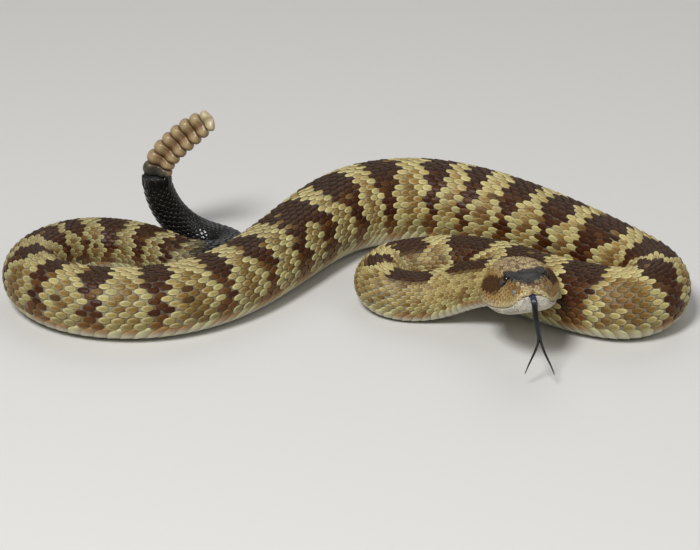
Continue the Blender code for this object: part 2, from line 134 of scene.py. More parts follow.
class Spline:
    """A natural cubic spline through points, read at many places at once."""

    def __init__(self, points, knots=None):
        self.points = np.array(points, float)
        if knots is None:
            steps = np.linalg.norm(np.diff(self.points[:, :3], axis=0), axis=1)
            knots = np.concatenate([[0.0], np.cumsum(steps)])
        self.knots = np.array(knots, float)
        count, width = len(self.knots), np.diff(self.knots)
        rows = np.eye(count)
        right = np.zeros_like(self.points)
        slopes = np.diff(self.points, axis=0) / width[:, None]
        for i in range(1, count - 1):
            rows[i, i - 1:i + 2] = width[i - 1], 2 * (width[i - 1] + width[i]), width[i]
            right[i] = 6 * (slopes[i] - slopes[i - 1])
        self.bends = np.linalg.solve(rows, right)

    def at(self, places):
        """The values at places along the spline."""
        places = np.clip(places, 0.0, self.knots[-1])
        i = np.clip(np.searchsorted(self.knots, places) - 1, 0, len(self.knots) - 2)
        width = (self.knots[i + 1] - self.knots[i])[..., None]
        after = (places - self.knots[i])[..., None] / width
        before = 1 - after
        curve = (before ** 3 - before) * self.bends[i] + (after ** 3 - after) * self.bends[i + 1]
        return before * self.points[i] + after * self.points[i + 1] + curve * width ** 2 / 6


def unit(vectors):
    return vectors / np.maximum(np.linalg.norm(vectors, axis=-1, keepdims=True), 1e-9)


def smooth(value, low=0.0, high=1.0):
    """0 below low, 1 above high, and an even S between them."""
    part = np.clip((value - low) / (high - low), 0.0, 1.0)
    return part * part * (3 - 2 * part)


class Spine:
    """The line from the snout to the rattle, with its frames in a fine table."""

    table_step = 0.5
    along_step = 0.2
    bend_step = 1.0

    def __init__(self):
        points = [(x, y, REST * wide / 2 if high is None else high, wide) for x, y, wide, high in ROUTE]
        self.spline = Spline(points)
        self.end = self.spline.knots[-1]
        self.upright = self.spline.knots[TAIL_POINT]
        self.rattle = self.spline.knots[RATTLE_POINT]
        self.places = np.arange(0.0, self.end + self.table_step, self.table_step)
        along = self.direction(self.places)
        across = unit(np.cross(along, UP))
        roll = HEAD_ROLL * np.clip(1 - (self.places - HEAD_LENGTH) / (ROLL_ENDS - HEAD_LENGTH), 0.0, 1.0)
        across = across * np.cos(roll)[:, None] + np.cross(along, across) * np.sin(roll)[:, None]
        for i in np.flatnonzero(self.places > self.upright):
            across[i] = unit(across[i - 1] - along[i] * across[i - 1].dot(along[i]))
        turn = self.direction(self.places + self.bend_step) - self.direction(self.places - self.bend_step)
        bend = 2 * self.bend_step / np.maximum(np.linalg.norm(turn, axis=1), 1e-3)
        inside = np.sign((turn * across).sum(1))
        self.table = np.column_stack([across, along, bend, inside])

    def direction(self, places):
        ahead = self.spline.at(np.minimum(places + self.along_step, self.end))
        behind = self.spline.at(np.maximum(places - self.along_step, 0.0))
        return unit((ahead - behind)[..., :3])

    def frames(self, places):
        """Centre, across, along, up, radius, bend radius and its inner side, at each place."""
        places = np.clip(places, 0.0, self.end)
        point = self.spline.at(places)
        rows = np.stack([np.interp(places, self.places, column) for column in self.table.T], axis=-1)
        across, along = unit(rows[..., :3]), unit(rows[..., 3:6])
        up, radius = np.cross(across, along), point[..., 3] / 2
        return point[..., :3], across, along, up, radius, rows[..., 6], rows[..., 7]


spine = Spine()
head_shape = Spline([row[1:] for row in HEAD_SECTIONS], knots=[math.sqrt(row[0]) for row in HEAD_SECTIONS])


def signed_power(value, power):
    """A power that keeps the sign, for the rounded squares of sections and scales."""
    return np.sign(value) * np.abs(value) ** power


def mouth_level(place):
    """The lips arch up at the front over the tongue, fall to the cheeks and rise a little to the corner."""
    place = np.maximum(place, 0.0)
    return -MOUTH_DROP * (1 - np.exp(-place / MOUTH_ARCH)) + MOUTH_RISE * (place / GAPE) ** 3


def body_section(radius, bend, inside, angle):
    """A loaf: round, with a flat belly, squeezed on the inside of a tight bend."""
    x, z = radius * np.sin(angle), radius * np.cos(angle)
    squeezed = np.sign(x) * np.minimum(np.abs(x), SQUEEZE * bend * np.abs(np.sin(angle)))
    return np.where(x * inside > 0, squeezed, x), np.maximum(z, -REST * radius)


def head_sizes(place):
    """The columns of HEAD_SECTIONS at a place, without the first."""
    return np.moveaxis(head_shape.at(np.sqrt(np.clip(place, 0, HEAD_LENGTH))), -1, 0)


def head_section(place, angle):
    """Flat between the brows, and widest at the cheeks."""
    cheek, brow, level, crown, chin = head_sizes(place)
    rounder = np.clip((place - SQUARE_ENDS) / (HEAD_LENGTH - SQUARE_ENDS), 0.0, 1.0)
    power = 2 / (SQUARE_SNOUT + (2 - SQUARE_SNOUT) * np.sqrt(rounder))
    x, z = signed_power(np.sin(angle), power), signed_power(np.cos(angle), power)
    above = z > 0
    high = np.where(above, level + (crown - level) * z, level + (chin + level) * z)
    lips = LIP * np.exp(-((high - mouth_level(place)) / LIP_HEIGHT) ** 2)
    lips = lips * smooth(place, 0.4, 1.6) * (1 - smooth(place, GAPE - 4, GAPE))
    wide = np.where(above, cheek + (brow - cheek) * z, cheek) + lips
    middle = (crown - chin) / 2
    part = 1 - np.clip(-place / SNOUT_CAP, 0.0, 1.0)
    return x * wide * part, middle + (high - middle) * part


def section(place, angle):
    """How far a point of the outline lies to the side of the spine and above it."""
    _, _, _, _, radius, bend, inside = spine.frames(place)
    x, z = head_section(place, angle)
    body_x, body_z = body_section(radius, bend, inside, angle)
    neck = smooth(place, HEAD_LENGTH - NECK_BLEND, HEAD_LENGTH + NECK_BLEND)
    return x + (body_x - x) * neck, z + (body_z - z) * neck


def outline(place, angle):
    """Points of the animal's outline, in mm from the middle of its box."""
    centre, across, along, up, *_ = spine.frames(place)
    x, z = section(place, angle)
    cap = np.clip(-place / SNOUT_CAP, 0.0, 1.0)
    forward = SNOUT_BULGE * cap * (2 - cap)
    return centre + across * x[..., None] + up * z[..., None] - along * forward[..., None] - CENTRE


def surface(place, angle, place_step=0.3, angle_step=0.02):
    """Point, direction along the body, direction round it and outward normal of the outline."""
    place, angle = np.asarray(place, float), np.asarray(angle, float)
    tail = outline(place + place_step, angle) - outline(place - place_step, angle)
    round_it = outline(place, angle + angle_step) - outline(place, angle - angle_step)
    normal = unit(np.cross(round_it, tail))
    tailward = unit(tail)
    return outline(place, angle), tailward, np.cross(tailward, normal), normal


def angle_at_height(place, height, side):
    """The angle round the head, on one side, where its outline has a given height."""
    angles = np.linspace(math.pi, 0.0, 181)
    found = []
    for one_place, one_height in zip(place, height):
        levels = head_section(np.full_like(angles, one_place), angles)[1]
        found.append(np.interp(one_height, levels, angles))
    return side * np.array(found)


# Along the spine, in mm: place, step from one scale to the next in its row, and length of a scale. The
# steps are shorter in tight bends, where the skin stretches over the outside and folds up inside.
SCALE_STEPS = (
    (43, 2.5, 2.8), (60, 3.0, 3.0), (80, 3.1, 3.2), (91, 2.5, 3.3), (97, 2.1, 3.3), (104, 2.5, 3.4),
    (116, 3.2, 3.5), (150, 3.7, 3.9), (190, 3.9, 4.3), (206, 3.6, 4.4), (221, 2.8, 4.5), (235, 3.4, 4.6),
    (252, 4.6, 4.9), (272, 5.1, 5.3), (350, 4.9, 5.3), (430, 5.0, 5.2), (468, 4.4, 5.0), (500, 4.3, 4.9),
    (540, 4.6, 4.8), (570, 4.1, 4.5), (600, 4.0, 4.3), (650, 3.8, 4.1), (668, 3.4, 3.8), (742, 2.6, 2.9),
)
SCALES_START = 41.5
TAIL_START = 668.0
FLANK = math.radians(114)  # the rows of the back end here, from the middle of the back
LOW_ROWS = 0.06  # how much the lowest rows are widened
HALF_ROWS = 13
ROW_SPANS = {11: (-1, 540), 12: (-1, 500), 13: (300, 455)}  # where the lowest rows begin and end
ROW_FADE = 14.0
TAIL_HALF_ROWS = 8
TAIL_RING_LENGTH = 5.0

# Dark blotches on the back: where each begins and ends along the spine, mm.
BLOTCHES = (
    (47, 63), (72, 92.5), (99, 107), (113, 127.5), (137, 157), (165, 183.5), (193, 210), (222, 233),
    (238, 252), (262, 281), (288.5, 301.5), (310, 324.5), (333.5, 343), (351, 363), (374.5, 388.5),
    (398, 414.5), (426, 449.5), (462, 474), (483.5, 493), (506, 516), (527, 538.5), (546, 557),
    (568, 578), (588, 600), (605, 614), (622, 632), (638, 649), (654, 662),
)
BAR_NARROWS = 0.5  # how much narrower a blotch is down the flank
FORKED = 21.0  # a longer blotch forks on the flank
SIDE_SPOT_ANGLE = 68.0
SIDE_SPOT_SPAN = 9.0
SIDE_SPOTS_END = 335.0

# Where along the spine the markings change, mm: from, to.
NECK_PLAIN = (95, 150)
WINDOWS_DARKEN = (380, 440)
STRAW_DULLS = (415, 455)
REAR_DARKENS = (545, 600)
TAIL_BLACKENS = (656, 672)


def paint(red, green, blue):
    """A colour as a screen shows it, in linear light."""
    shown = np.array((red, green, blue)) / 255
    return np.where(shown <= 0.04045, shown / 12.92, ((shown + 0.055) / 1.055) ** 2.4)


DARK = paint(62, 29, 8)
DARK_BACK_WITH_SHEEN = paint(58, 35, 19)
STRAW = paint(184, 172, 112)
BACK_STRAW = paint(194, 178, 118)
# The low flanks' straw: greener than the rest, and darker with painted shade where the body turns under.
LOW_STRAW_SHADED = paint(166, 154, 98)
PALE_RIM_AND_HIGHLIGHT = paint(206, 198, 154)
OLIVE = paint(156, 127, 66)
OLIVE_CORE = paint(118, 88, 38)
FLANK_BROWN = paint(120, 80, 32)
SKIN_GREY = paint(116, 113, 98)
BELLY = paint(206, 202, 176)
BELLY_TAN = paint(152, 114, 60)
BELLY_STRAW = paint(192, 185, 134)
BLACK = paint(16, 15, 15)
FACE_GOLD = paint(152, 115, 54)
FACE_BROWN = paint(108, 72, 32)
CROWN_TAN = paint(178, 154, 110)
CROWN_BROWN = paint(92, 66, 40)
SNOUT_GREY = paint(52, 49, 48)
CHEEK_DARK = paint(58, 30, 10)
LIP_CREAM = paint(208, 194, 152)
CHIN_GREY = paint(200, 194, 180)
HOLLOW_SHADE = paint(16, 12, 9)
IRIS_BRONZE = paint(92, 64, 30)
IRIS_DARK = paint(20, 14, 9)
PUPIL = paint(5, 4, 4)
TONGUE_BLUE_SHEEN = paint(44, 44, 76)
TONGUE_BLACK = paint(14, 14, 17)
HORN_TAN = paint(160, 138, 100)
HORN_BROWN = paint(96, 64, 34)
HORN_PALE = paint(196, 182, 146)
HORN_STAIN = paint(40, 42, 42)


def blend(first, second, part):
    """The first colour, with this part of the second mixed in."""
    return first + (second - first) * np.asarray(part)[..., None]


def spacing(place):
    """The step from one scale to the next in its row."""
    at, step, _ = np.array(SCALE_STEPS).T
    return np.interp(place, at, step)


def scale_length(place):
    at, _, length = np.array(SCALE_STEPS).T
    return np.interp(place, at, length)


def blotch_gap(place, around):
    """Distance along the body from the nearest dark blotch, in scales; below 0 inside it."""
    gap = np.full(np.shape(place), 99.0)
    pitch = spacing(place)
    narrow = 1 - BAR_NARROWS * smooth(around, 20, 60)
    for start, end in BLOTCHES:
        middle, half = (start + end) / 2, (end - start) / 2
        if end - start > FORKED:
            reach = 0.86 * half * smooth(around, 25, 45)
            width = half - 0.66 * half * smooth(around, 25, 45)
            distance = np.abs(np.abs(place - middle) - reach) - width
        else:
            distance = np.abs(place - middle) - half * narrow
        gap = np.minimum(gap, distance / pitch)
    return gap


def side_spot(place, around):
    """1 on the few dark scales in the middle of each light window of the fore body."""
    spot = np.zeros(np.shape(place))
    for (_, before), (after, _) in zip(BLOTCHES, BLOTCHES[1:]):
        if after < SIDE_SPOTS_END:
            across = (around - SIDE_SPOT_ANGLE) / SIDE_SPOT_SPAN
            along = (place - (before + after) / 2) / (0.8 * spacing(place))
            spot = np.maximum(spot, 1 - np.hypot(along, across))
    return smooth(spot, 0.0, 0.25)


def body_marks(place, angle, draw, second_draw):
    """Colours of the body: dark blotches edged with straw yellow, olive brown between them.

    The draws are two numbers from 0 to 1 for each scale, which vary it among its neighbours.
    """
    around = np.abs(np.degrees(angle))
    gap = blotch_gap(place, around) + 0.5 * (draw - 0.5)
    low = smooth(around, 78, 112)
    # The blotches: red brown on the flanks and paler low down, and grey brown on the back, partly their own
    # tone and partly a painted sheen.
    dark = blend(DARK_BACK_WITH_SHEEN, DARK, smooth(around, 15, 50))
    rusty = 0.45 * smooth(second_draw, 0.5, 1.0) * smooth(around, 15, 45)
    dark = blend(dark, FLANK_BROWN, np.maximum(low * 0.85, rusty))
    # The straw edge round each blotch, greener low down and darkened there by painted shade.
    straw = blend(BACK_STRAW, STRAW, smooth(around, 20, 60))
    straw = blend(straw, LOW_STRAW_SHADED, low)
    straw = blend(straw, OLIVE, 0.6 * smooth(second_draw, 0.3, 1.0))
    # The olive windows between the edges, browner in the middle, with a few straw and dark scales.
    core = smooth(gap + 0.7 * (second_draw - 0.5), 0.7, 1.8) * smooth(around, 12, 34)
    window = blend(OLIVE, OLIVE_CORE, core)
    window = blend(window, straw, (draw > 0.88 - 0.4 * low) * 0.7)
    window = blend(window, DARK, (second_draw < 0.04) * (around > 40) * 0.8)
    window = window * (1 - 0.2 * smooth(place, *WINDOWS_DARKEN))[..., None]
    straw = straw * (1 - 0.14 * smooth(place, *STRAW_DULLS))[..., None]
    odd = (second_draw > 0.955) * (around < 55)
    dark = blend(dark, OLIVE_CORE, odd * 0.8)
    edge = (gap < 0.8) | ((around < 22) & (gap < 2.2))
    colour = np.where(edge[..., None], straw, window)
    colour = blend(colour, FLANK_BROWN * 0.8, side_spot(place, around) * 0.9)
    colour = np.where((gap < 0)[..., None], dark, colour)
    # The neck's sides have no blotches, only spots.
    plain = blend(OLIVE, STRAW, draw * 0.4)
    plain = blend(plain, LOW_STRAW_SHADED, low)
    spotted = blend(plain, OLIVE_CORE, (second_draw > 0.8) * 0.9)
    neck = 1 - smooth(place, *NECK_PLAIN)
    colour = blend(colour, spotted, neck * smooth(around, 28, 46) * 0.85)
    colour = colour * (0.82 + 0.32 * draw[..., None])
    colour = blend(colour, DARK_BACK_WITH_SHEEN, smooth(place, *REAR_DARKENS) * 0.25)
    return blend(colour, BLACK, smooth(place, *TAIL_BLACKENS))


PATCH_POINT = 1.6  # half width of the dark patch on the snout where it begins, mm
PATCH_FLARE = 0.64  # and how fast it widens


def from_feature(place, z, at, size=(1.0, 1.0)):
    """Distance on the head's side from one of its features, in the feature's own sizes."""
    return np.hypot((place - at[0]) / size[0], (z - at[1]) / size[1])


def cloud(place, x, z):
    """A soft uneven field over the head, between 0 and 1."""
    slanted = np.sin(1.9 * place + 1.3 * z + 0.8) + np.sin(2.7 * z - 1.1 * place + 2.0)
    return 0.5 + (slanted + np.sin(2.3 * x + 0.7 * place)) / 6


def face_marks(place, x, z, draw, second_draw):
    """Colours of the head, by place from the snout, side and height in mm."""
    side = np.abs(x)
    draw = 0.4 * draw + 0.6 * cloud(place, x, z)
    lip = z - mouth_level(place)
    crown = head_sizes(place)[3]
    # The sides of the snout and cheeks, paler towards the lips.
    colour = blend(FACE_GOLD, FACE_BROWN, smooth(draw, 0.35, 0.85) * 0.65)
    colour = blend(colour, CROWN_TAN, (second_draw > 0.75) * 0.16)
    colour = blend(colour, LIP_CREAM, (1 - smooth(lip, 0.8, 3.4)) * (0.6 + 0.2 * second_draw))
    under_patch = smooth(z, 2.5, 4.5) * (1 - smooth(place, 8, 11))
    colour = blend(colour, FACE_BROWN, 0.7 * under_patch * smooth(draw, 0.2, 0.6))
    tip_stripe = (1 - smooth(side, 0.5, 1.1)) * (1 - smooth(place, 0.8, 1.6))
    colour = blend(colour, LIP_CREAM, 0.8 * tip_stripe)
    # The dark cheek behind the eye, and painted shade round the eye.
    cheek = from_feature(place, z, CHEEK_AT, CHEEK_SIZE)
    colour = blend(colour, CHEEK_DARK, (1 - smooth(cheek, 0.84, 1.06)) * 0.92)
    socket = from_feature(place, z, EYE_AT)
    colour = blend(colour, CHEEK_DARK, (1 - smooth(socket, 2.8, 4.2)) * 0.8 * smooth(z, 1.5, 4.0))
    # The crown, which comes down the sides behind the cheeks.
    crown_colour = blend(CROWN_TAN, CROWN_BROWN, smooth(0.5 * draw + 0.5 * second_draw, 0.4, 0.72) * 0.95)
    colour = blend(colour, crown_colour, smooth(z, crown - 2.6, crown - 1.2))
    colour = blend(colour, crown_colour, smooth(place, 26, 34) * smooth(z, -3, 1))
    # The dark patch from the snout's tip to the brows, and the streaks under it.
    beyond = side - PATCH_POINT - PATCH_FLARE * place
    streak = (1 - smooth(beyond, 0.4, 2.6)) * smooth(z, 2.2, 3.6) * (1 - smooth(place, 9, 11))
    colour = blend(colour, CHEEK_DARK, 0.55 * streak * smooth(cloud(1.3 * place, 2 * x, z), 0.35, 0.75))
    patch = (1 - smooth(place, 13.2, 15.0)) * (1 - smooth(beyond, -0.5, 0.4))
    patch = patch * smooth(place, 0.3, 0.9) * smooth(z, crown - 3.4, crown - 2.6)
    colour = blend(colour, SNOUT_GREY * (0.4 + 0.4 * draw + 0.9 * second_draw ** 2)[..., None], patch)
    chin = blend(CHIN_GREY, FACE_BROWN, smooth(second_draw, 0.7, 0.95) * 0.5)
    return blend(colour, chin, 1 - smooth(lip, -0.5, 0.0)) * (0.9 + 0.2 * draw[..., None])


def hollow(distance, depth, flat, rim):
    """Depth of a hollow at a distance from its middle: its floor is flat this far out, and then rises."""
    return depth * (1 - smooth(distance, flat, rim))


def relief(place, x, z):
    """How deep the head's hollows are: eye sockets, heat pits, nostrils, the mouth and its notch."""
    on_side = np.abs(x) > 2.5
    eye = on_side * hollow(from_feature(place, z, EYE_AT), 2.6, 1.7, 2.5)
    pit = on_side * hollow(from_feature(place, z, PIT_AT), 1.5, 0.75, 1.35)
    nostril = on_side * hollow(from_feature(place, z, NOSTRIL_AT, NOSTRIL_SIZE), 1.2, 0.5, 1.2)
    groove = 0.6 * np.exp(-((z - mouth_level(place)) / 0.3) ** 2) * (1 - smooth(place, GAPE - 2, GAPE + 1))
    notch = (place < 1.5) * hollow(np.hypot(x / 1.4, (z + 0.1) / 0.9), 2.2, 0.6, 1.1)
    return np.maximum.reduce([eye, pit, nostril, groove, notch])


def row_places(start, end):
    """Places along the spine, one scale apart, from start to end."""
    places = [start]
    while places[-1] < end:
        places.append(places[-1] + float(spacing(places[-1])))
    return np.array(places[:-1])


def row_edge(part):
    """The angle of a row's edge, from its part of the way down the flank. The lowest rows are wider."""
    low = np.maximum(part - 0.8, 0.0) ** 2 / 0.04
    return FLANK * (part + LOW_ROWS * low) / (1 + LOW_ROWS)


def lattice(rng, start, end):
    """The back's scales in crossing rows: place, angle, row width and part of the way down, for each."""
    half_rows = HALF_ROWS if start < TAIL_START else TAIL_HALF_ROWS
    places = row_places(start, end)
    weights = np.ones((half_rows + 1, len(places)))
    for row, (first, last) in ROW_SPANS.items():
        if row <= half_rows:
            begun = smooth(places, first - ROW_FADE, first)
            weights[row] = begun * (1 - smooth(places, last, last + ROW_FADE))
    reach = np.cumsum(weights, axis=0) - 0.5
    seats = []
    for row in range(-half_rows, half_rows + 1):
        weight = weights[abs(row)]
        outer = row_edge(reach[abs(row)] / reach[-1])
        inner = row_edge((reach[abs(row)] - weight) / reach[-1])
        at = places + (0.5 * spacing(places) if row % 2 else 0.0)
        rows = np.column_stack([at, np.sign(row) * (outer + inner) / 2, outer - inner, outer / FLANK])
        seats.append(rows[weight > 0.45])
    seats = np.concatenate(seats)
    seats[:, 0] += rng.normal(0, 0.03, len(seats)) * spacing(seats[:, 0])
    seats[:, 1] += rng.normal(0, 0.04, len(seats)) * seats[:, 2]
    return seats


def add_object(name, mesh):
    piece = bpy.data.objects.new(name, mesh)
    bpy.context.scene.collection.objects.link(piece)
    return piece


def from_bmesh(name, shape):
    mesh = bpy.data.meshes.new(name)
    shape.to_mesh(mesh)
    shape.free()
    mesh.shade_smooth()
    return add_object(name, mesh)


def coordinates(mesh):
    """The mesh's vertices as rows of numbers, in its own units."""
    values = np.empty(len(mesh.vertices) * 3, np.float32)
    mesh.vertices.foreach_get("co", values)
    return values.reshape(-1, 3).astype(float)


def place_vertices(piece, points):
    """Moves each vertex to its point, given in mm."""
    piece.data.vertices.foreach_set("co", (points * MM).astype(np.float32).ravel())
    piece.data.update()


def colour_vertices(piece, colours):
    layer = piece.data.color_attributes.new("Marking", "FLOAT_COLOR", "POINT")
    values = np.column_stack([np.clip(colours, 0.0, 1.0), np.ones(len(colours))])
    layer.data.foreach_set("color", values.astype(np.float32).ravel())


def unwrap(piece, flat):
    """Lays the piece out for baking: one flat point for each vertex."""
    corners = np.empty(len(piece.data.loops), np.int32)
    piece.data.loops.foreach_get("vertex_index", corners)
    layer = piece.data.uv_layers.new(name="OFBake")
    layer.data.foreach_set("uv", flat[corners].astype(np.float32).ravel())


def scale_shape(sides=16):
    """An oval scale two units across: a sunk wall, a rim, a shoulder, an inner ring and a raised middle."""
    shape = bmesh.new()
    bmesh.ops.create_cone(shape, cap_ends=True, segments=sides, radius1=0.96, radius2=1.0, depth=1.0)
    top = max(shape.faces, key=lambda face: face.calc_center_median().z)
    bmesh.ops.inset_region(shape, faces=[top], thickness=0.2, depth=0.34)
    bmesh.ops.inset_region(shape, faces=[top], thickness=0.4, depth=0.13)
    bmesh.ops.poke(shape, faces=[top])
    middle = max(shape.verts, key=lambda vert: vert.co.z)
    middle.co.z = 1.0
    return shape


def belly_shape(columns=18, rows=3):
    """A broad belly plate two units each way and one thick."""
    shape = bmesh.new()
    bmesh.ops.create_grid(shape, x_segments=columns, y_segments=rows, size=1.0)
    bmesh.ops.solidify(shape, geom=shape.faces, thickness=1.0)
    bmesh.ops.recalc_face_normals(shape, faces=shape.faces)
    return shape


def array_of(name, shape, count):
    """A piece that joins count copies of the shape, one after another, and the shape's own points."""
    single = from_bmesh(name, shape)
    points = coordinates(single.data)
    array = single.modifiers.new("array", "ARRAY")
    array.count = count
    array.use_relative_offset = False
    array.use_merge_vertices = False
    mesh = bpy.data.meshes.new_from_object(single.evaluated_get(bpy.context.evaluated_depsgraph_get()))
    single.modifiers.clear()
    single.data = mesh
    return single, points


def on_skin(tree, points):
    """The nearest point of the skin to each point, in mm, from the skin's search tree."""
    nearest = [tree.find_nearest(Vector(point * MM))[0] for point in points.reshape(-1, 3)]
    return np.array(nearest).reshape(points.shape) / MM


def lay_scales(name, seats, tree=None):
    """One joined mesh with a scale on every seat. Seats are a dict of arrays, one value for each scale.

    With the skin's search tree, as on the head, each scale is bent to follow the skin everywhere.
    """
    count = len(seats["place"])
    piece, shape = array_of(name, scale_shape(), count)
    point, tailward, across, normal = surface(seats["place"], seats["angle"])
    column = {key: np.asarray(value, float)[:, None] for key, value in seats.items() if key != "colour"}
    x, y, z = shape.T
    span = np.hypot(x, y)
    way_x, way_y = x / np.maximum(span, 1e-6), y / np.maximum(span, 1e-6)
    x = span * signed_power(way_x, column["square"])
    y = span * signed_power(way_y, column["square"])
    ridge = np.exp(-(x / 0.16) ** 2) * (z > 0) * (span < 0.95) * (0.55 + 0.45 * y)
    rise = column["height"] * z + column["keel"] * ridge + column["lift"] * (y + 1) / 2 - column["sink"]
    wide = x * column["width"] / 2 * (1 - 0.1 * y)
    long = y * column["length"] / 2
    points = point[:, None] + across[:, None] * wide[..., None] + tailward[:, None] * long[..., None]
    if tree:
        points = on_skin(tree, points)
    else:
        rise = rise - COAT - wide ** 2 / (2 * column["round"])
    points = points + normal[:, None] * rise[..., None]
    points[..., 2] = np.maximum(points[..., 2], 0.0)
    place_vertices(piece, points.reshape(-1, 3))
    colour_vertices(piece, scale_colours(seats["colour"], y, z, span).reshape(-1, 3))
    lay_grain(piece, np.stack([wide, long, 7.0 * np.arange(count)[:, None] + 0 * y], axis=-1))
    start, end = seats["place"].min(), seats["place"].max()
    turn = np.mod(seats["angle"] / (2 * math.pi) + 0.5, 1.0)
    root = np.column_stack([(seats["place"] - start) / max(end - start, 1.0), turn])
    flat = (0.01 + 0.98 * root)[:, None] + 0.0015 * np.stack([y, x], axis=-1)
    unwrap(piece, flat.reshape(-1, 2))
    return piece


def scale_colours(colour, y, z, span):
    """Each scale is darker in the middle, has painted shade at its root and on its sunk wall, and has a
    pale rim round its free end that is partly a painted highlight.
    """
    light = smooth(colour.mean(axis=1), 0.02, 0.2)[:, None]
    free = (z > 0) * smooth(y, -0.7, 0.3)
    # The pale rim and shoulder ring are partly the scale's own pale edge and partly a painted highlight.
    rim = free * ((span > 0.9) * (0.03 + 0.47 * light) + (np.abs(span - 0.8) < 0.1) * 0.34 * light)
    core = (span < 0.7) * (1 - light) * 0.06 + (span < 0.5) * light * 0.22
    # Painted shade darkens the root, where the scale before overlaps it, and halves the colour on the sunk
    # wall and underside.
    shade = (1 - core) * (1 - 0.3 * smooth(-y, 0.1, 0.9)) * np.where(z < 0, 0.5, 1.0)
    colours = colour[:, None] * shade[..., None]
    return colours + (PALE_RIM_AND_HIGHLIGHT - colours) * rim[..., None]


def lay_grain(piece, values):
    """Keeps each scale's own mm across and along, and a number of its own, for the streaks on it."""
    layer = piece.data.attributes.new("Grain", "FLOAT_VECTOR", "POINT")
    layer.data.foreach_set("vector", values.astype(np.float32).ravel())


def seats_of(place, angle, width, length, colour, **form):
    """Seats for lay_scales. The form's values are one number for all the scales or one for each."""
    values = dict(height=0.2, lift=0.2, keel=0.0, sink=0.0, round=14.0, square=1.0)
    values.update(form)
    full = np.ones(len(place))
    seats = {key: value * full for key, value in values.items()}
    seats.update(place=place, angle=angle, width=width, length=length, colour=colour)
    return seats


def joined_seats(*groups):
    """Several groups of seats as one."""
    return {key: np.concatenate([group[key] for group in groups]) for key in groups[0]}


def stretch(place, angle):
    """How much longer the outline is here than the spine beside it."""
    step = 0.8
    ahead, behind = outline(place + step, angle), outline(place - step, angle)
    return np.linalg.norm(ahead - behind, axis=-1) / (2 * step)


def back_scales(name, rng, start, end):
    """The keeled scales of the back and flanks along one length of the body."""
    rows = lattice(rng, start, end)
    place, angle, row_angle, low = rows.T
    count = len(place)
    radius = spine.frames(place)[4]
    stretched = np.clip(stretch(place, angle), 0.3, 1.8)
    slim = 1 - 0.07 * smooth(place, 60, 85) * (1 - smooth(place, 135, 180))
    width = radius * row_angle * slim * (1.0 + 0.1 * low) * rng.normal(1, 0.03, count)
    squeezed = np.minimum(stretched, 1.0) ** 0.9
    length = scale_length(place) * (1 + 0.06 * low) * squeezed * rng.normal(1, 0.03, count)
    colour = body_marks(place, angle, rng.random(count), rng.random(count))
    size = np.clip(length / 5.0, 0.45, 1.0)
    overlap = np.clip(length / (spacing(place) * stretched), 0.75, 1.9)
    seats = seats_of(
        place, angle, width, length, colour, height=0.3 * size, lift=0.34 * size * overlap,
        keel=0.2 * size * (1 - smooth(low, 0.55, 0.85)), sink=0.04, round=radius, square=0.86)
    return lay_scales(name, seats)


def tail_ring(count=11):
    """The last ring of large scales round the tail, at the rattle's base."""
    angle = 2 * math.pi * np.arange(count) / count
    place = np.full(count, spine.rattle - TAIL_RING_LENGTH * 0.42)
    width = np.full(count, 2 * math.pi * spine.frames(place)[4][0] / count * 1.1)
    seats = seats_of(
        place, angle, width, np.full(count, TAIL_RING_LENGTH), np.tile(BLACK, (count, 1)),
        height=0.36, lift=0.22, round=6.0, square=0.7)
    return lay_scales("tail_ring", seats)


PLATE_SLANT = 0.75  # how many plates further forward a belly plate's ends reach than its middle


def belly_plates(name, start, end, rng):
    """The broad plates under the body, one for each row of scales."""
    places = row_places(start, end)
    piece, shape = array_of(name, belly_shape(), len(places))
    x, y, z = shape.T
    half_span = math.pi - FLANK + math.radians(3)
    pitch = spacing(places)[:, None]
    ends = np.sqrt(np.clip(1 - smooth(np.abs(x), 0.8, 1.02) ** 2, 0.0, 1.0)) * 0.8 + 0.2
    slant = PLATE_SLANT * smooth(places, 45, 65)[:, None]
    place = places[:, None] + pitch * (0.62 * y * ends - slant * np.abs(x) ** 3)
    angle = np.broadcast_to(math.pi + x * half_span, place.shape)
    point, _, _, normal = surface(place, angle)
    top = z > -0.5
    rise = np.where(top, 0.12 + 0.3 * (y + 1) / 2 * (1 - 0.7 * np.abs(x) ** 4), -0.25) - COAT
    points = point + normal * rise[..., None]
    points[..., 2] = np.maximum(points[..., 2], 0.0)
    place_vertices(piece, points.reshape(-1, 3))
    draw = rng.random(len(places))[:, None]
    edge = smooth(np.abs(x), 0.6, 0.9)
    barred = (blotch_gap(places, 90.0)[:, None] < 0.2) | (draw > 0.85)
    end_colour = np.where(barred[..., None], BELLY_TAN, BELLY_STRAW) * np.ones((1, len(x), 1))
    colour = blend(np.broadcast_to(BELLY, end_colour.shape), end_colour, edge * np.ones_like(draw))
    colour = blend(colour, BELLY_TAN, 0.5 * smooth(np.abs(x), 0.5, 0.8) * (1 - smooth(y, -0.7, 0.3)))
    # Painted shade darkens each plate towards its root, under the plate before it.
    colour = colour * (0.72 + 0.28 * smooth(y, -0.8, 0.4))[None, :, None]
    colour = blend(colour, BLACK, smooth(place, *TAIL_BLACKENS))
    colour_vertices(piece, colour.reshape(-1, 3))
    along = (places[:, None] - start + pitch * (0.5 + 0.4 * y)) / (end - start + pitch)
    flat = np.stack([along, 0.5 + 0.48 * x * np.ones_like(place)], axis=-1)
    unwrap(piece, (0.01 + 0.98 * flat).reshape(-1, 2))
    return piece


